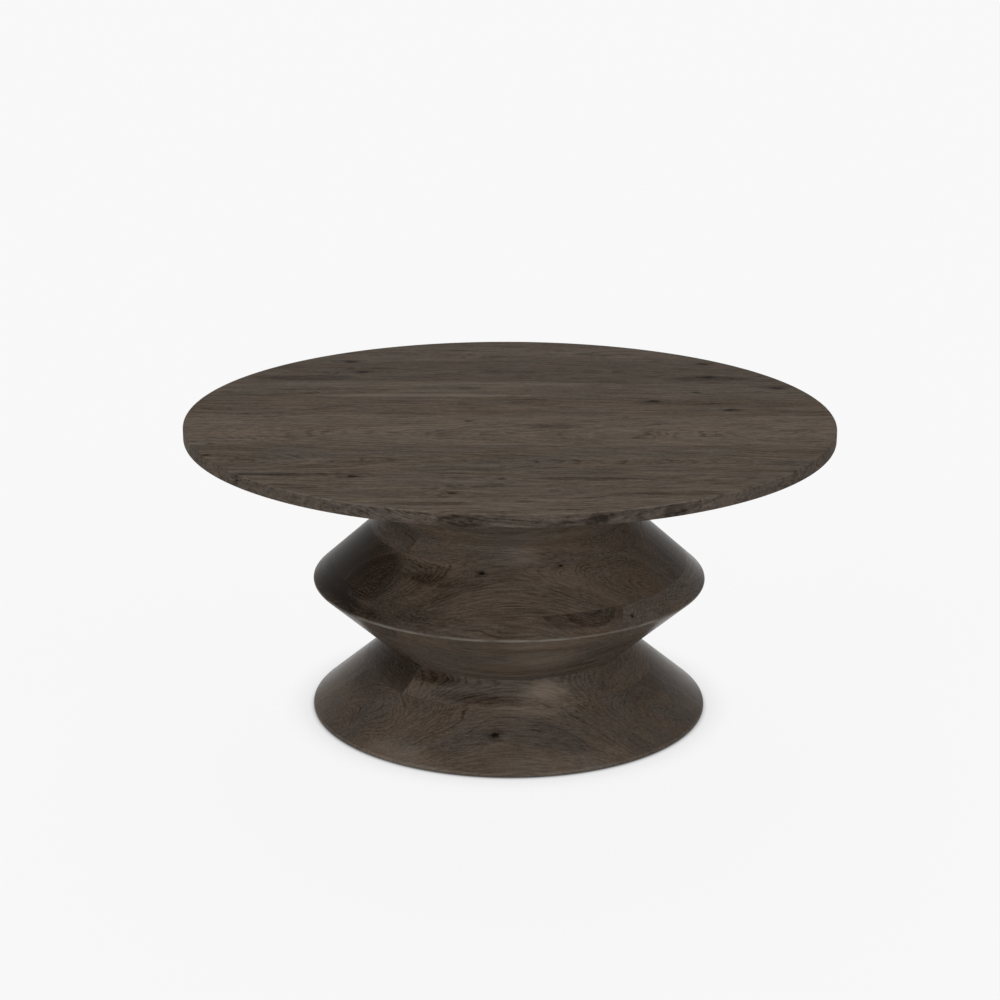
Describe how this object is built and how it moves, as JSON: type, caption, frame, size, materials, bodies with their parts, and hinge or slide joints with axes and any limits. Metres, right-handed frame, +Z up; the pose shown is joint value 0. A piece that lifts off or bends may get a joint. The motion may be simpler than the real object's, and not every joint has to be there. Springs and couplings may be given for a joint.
{
  "type": "drum table",
  "caption": "Low round wooden table with a thin glued-up top on a turned base of four cones meeting in a waist, a ridge and a neck.",
  "frame": {"origin": "on the floor, on the axis of the table", "axes": "+Z up along the axis of the table; the top's boards run along X, and -Y is the front"},
  "size_m": [0.9149, 0.9149, 0.4285],
  "materials": {
    "top_wood": "satin lacquer over stained solid wood",
    "base_wood": "satin lacquer over stained solid wood",
    "plywood": "birch plywood, sanded and stained dark to match the base",
    "zinc_steel": "zinc plated",
    "insert_brass": "bare",
    "glide_nylon": "moulded, matt"
  },
  "bodies": {
    "root": {"foot_ring_front": "base_wood", "foot_ring_back": "base_wood", "foot_ring_left": "base_wood", "foot_ring_right": "base_wood", "waist_ring_front": "base_wood", "waist_ring_back": "base_wood", "waist_ring_left": "base_wood", "waist_ring_right": "base_wood", "lower_cone_ring_front": "base_wood", "lower_cone_ring_back": "base_wood", "lower_cone_ring_left": "base_wood", "lower_cone_ring_right": "base_wood", "ridge_ring_front": "base_wood", "ridge_ring_back": "base_wood", "ridge_ring_left": "base_wood", "ridge_ring_right": "base_wood", "upper_cone_ring_front": "base_wood", "upper_cone_ring_back": "base_wood", "upper_cone_ring_left": "base_wood", "upper_cone_ring_right": "base_wood", "neck_ring_front": "base_wood", "neck_ring_back": "base_wood", "neck_ring_left": "base_wood", "neck_ring_right": "base_wood", "head_ring_front": "base_wood", "head_ring_back": "base_wood", "head_ring_left": "base_wood", "head_ring_right": "base_wood", "top_board_1": "top_wood", "top_board_2": "top_wood", "top_board_3": "top_wood", "top_board_4": "top_wood", "top_board_5": "top_wood", "top_board_6": "top_wood", "top_board_7": "top_wood", "top_board_8": "top_wood", "mounting_plate": "plywood", "plate_screws": "zinc_steel", "threaded_inserts": "insert_brass", "base_bolts": "zinc_steel", "bolt_washers": "zinc_steel", "foot_glides": "glide_nylon", "glide_screws": "zinc_steel"}
  },
  "joints": []
}
